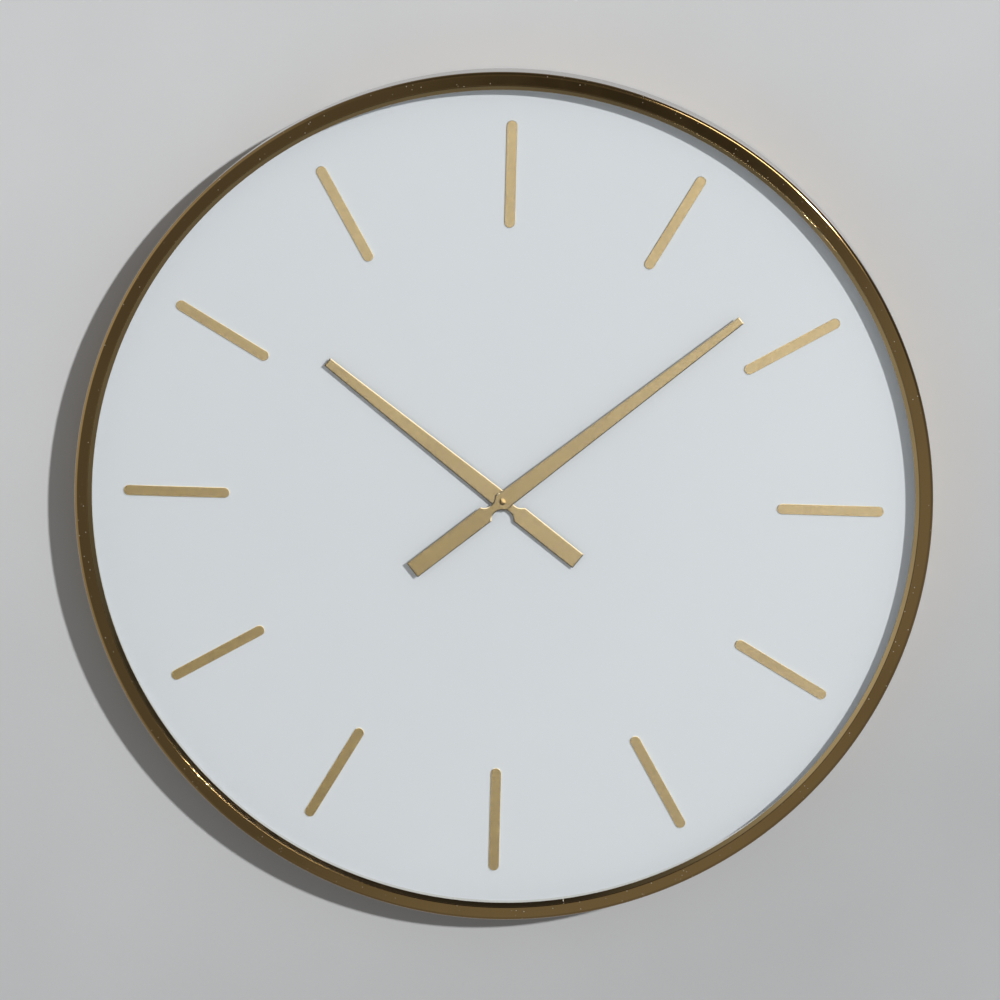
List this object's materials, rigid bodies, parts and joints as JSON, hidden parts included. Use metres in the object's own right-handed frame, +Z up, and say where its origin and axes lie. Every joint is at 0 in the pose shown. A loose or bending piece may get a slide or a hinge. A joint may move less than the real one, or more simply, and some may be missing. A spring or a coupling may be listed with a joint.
{
  "type": "wall clock",
  "caption": "Large round wall clock with a brass channel case, flat glass, raised hour bars, two flat hands and a quartz movement with a working train.",
  "frame": {"origin": "centre of the keyhole's round entry, on the rear face of the hanger plate", "axes": "+X to the right as the clock is read, +Y to the wall, +Z up; the clock's own axis runs along Y at z = -0.340 m"},
  "size_m": [0.762, 0.0515, 0.762],
  "materials": {
    "case_brass": "polished antique brass",
    "bezel_brass": "polished brass",
    "clear_glass": "clear float glass",
    "dial_white": "matt white",
    "satin_gold": "satin gold",
    "nut_brass": "polished",
    "board": "brown hardboard, screen side to the back",
    "zinc_steel": "zinc plated",
    "black_rubber": "matt",
    "turned_brass": "turned",
    "black_plastic": "moulded, fine texture",
    "knob_plastic": "moulded",
    "white_plastic": "moulded",
    "magnet": "sintered",
    "core_steel": "stamped",
    "copper": "enamelled copper wire",
    "circuit": "green lacquer",
    "chip": "black resin",
    "crystal_can": "drawn can",
    "contact_nickel": "nickel plated",
    "cell_jacket": "plain jacket"
  },
  "bodies": {
    "case": {"case_frame": "case_brass", "bezel_ring": "bezel_brass", "glass_lens": "clear_glass", "spacer_ring": "bezel_brass", "dial_plate": "dial_white", "hour_bar_1": "satin_gold", "hour_bar_2": "satin_gold", "hour_bar_3": "satin_gold", "hour_bar_4": "satin_gold", "hour_bar_5": "satin_gold", "hour_bar_6": "satin_gold", "hour_bar_7": "satin_gold", "hour_bar_8": "satin_gold", "hour_bar_9": "satin_gold", "hour_bar_10": "satin_gold", "hour_bar_11": "satin_gold", "hour_bar_12": "satin_gold", "backing_board": "board", "board_lugs": "zinc_steel", "board_screws": "zinc_steel", "hanger_plate": "zinc_steel", "wall_pads": "black_rubber", "threaded_bush": "turned_brass", "bush_washer": "turned_brass", "bush_nut": "turned_brass", "rubber_washer": "black_rubber", "movement_case": "black_plastic", "movement_cover": "black_plastic", "middle_plate": "white_plastic", "train_bridge": "white_plastic", "stator": "core_steel", "coil_core": "core_steel", "coil_bobbin": "white_plastic", "coil_winding": "copper", "circuit_board": "circuit", "chip_cap": "chip", "quartz_crystal": "crystal_can", "positive_contact": "contact_nickel", "negative_contact": "contact_nickel"},
    "minute": {"minute_hand": "satin_gold", "cap_nut": "nut_brass", "minute_arbor": "turned_brass", "centre_wheel": "turned_brass"},
    "hour": {"hour_hand": "satin_gold", "hour_collet": "turned_brass", "hour_wheel": "white_plastic"},
    "minute_wheel": {"minute_wheel": "white_plastic"},
    "setting": {"setting_pinion": "white_plastic", "setting_knob": "knob_plastic"},
    "third": {"third_wheel": "white_plastic"},
    "seconds": {"seconds_wheel": "white_plastic"},
    "intermediate": {"intermediate_wheel": "white_plastic"},
    "rotor": {"rotor_pinion": "white_plastic", "rotor_magnet": "magnet"},
    "battery": {"battery": "cell_jacket"}
  },
  "joints": [
    {"name": "minute_spin", "type": "hinge", "parent": "case", "child": "minute", "pos_m": [0, 0, -0.34], "axis": [0, 1, 0], "continuous": true},
    {"name": "hour_spin", "type": "hinge", "parent": "case", "child": "hour", "pos_m": [0, 0, -0.34], "axis": [0, 1, 0], "continuous": true},
    {"name": "minute_wheel_spin", "type": "hinge", "parent": "case", "child": "minute_wheel", "pos_m": [-0.00866, 0, -0.335], "axis": [0, 1, 0], "continuous": true},
    {"name": "setting_spin", "type": "hinge", "parent": "case", "child": "setting", "pos_m": [-0.01366, 0, -0.32634], "axis": [0, 1, 0], "continuous": true},
    {"name": "third_spin", "type": "hinge", "parent": "case", "child": "third", "pos_m": [0.00966, 0, -0.33741], "axis": [0, 1, 0], "continuous": true},
    {"name": "seconds_spin", "type": "hinge", "parent": "case", "child": "seconds", "pos_m": [0, 0, -0.34], "axis": [0, 1, 0], "continuous": true},
    {"name": "intermediate_spin", "type": "hinge", "parent": "case", "child": "intermediate", "pos_m": [-0.00349, 0, -0.33042], "axis": [0, 1, 0], "continuous": true},
    {"name": "rotor_spin", "type": "hinge", "parent": "case", "child": "rotor", "pos_m": [0.00397, 0, -0.3252], "axis": [0, 1, 0], "continuous": true},
    {"name": "battery_lift", "type": "slide", "parent": "case", "child": "battery", "axis": [0, 1, 0], "range_m": [0, 0.02]}
  ],
  "couplings": [
    {"joint": "hour_spin", "follows": "minute_spin", "ratio": 0.083333},
    {"joint": "minute_wheel_spin", "follows": "minute_spin", "ratio": -0.33333},
    {"joint": "setting_spin", "follows": "minute_spin", "ratio": 1},
    {"joint": "third_spin", "follows": "minute_spin", "ratio": -8},
    {"joint": "seconds_spin", "follows": "minute_spin", "ratio": 60},
    {"joint": "intermediate_spin", "follows": "minute_spin", "ratio": -300},
    {"joint": "rotor_spin", "follows": "minute_spin", "ratio": 1800}
  ]
}
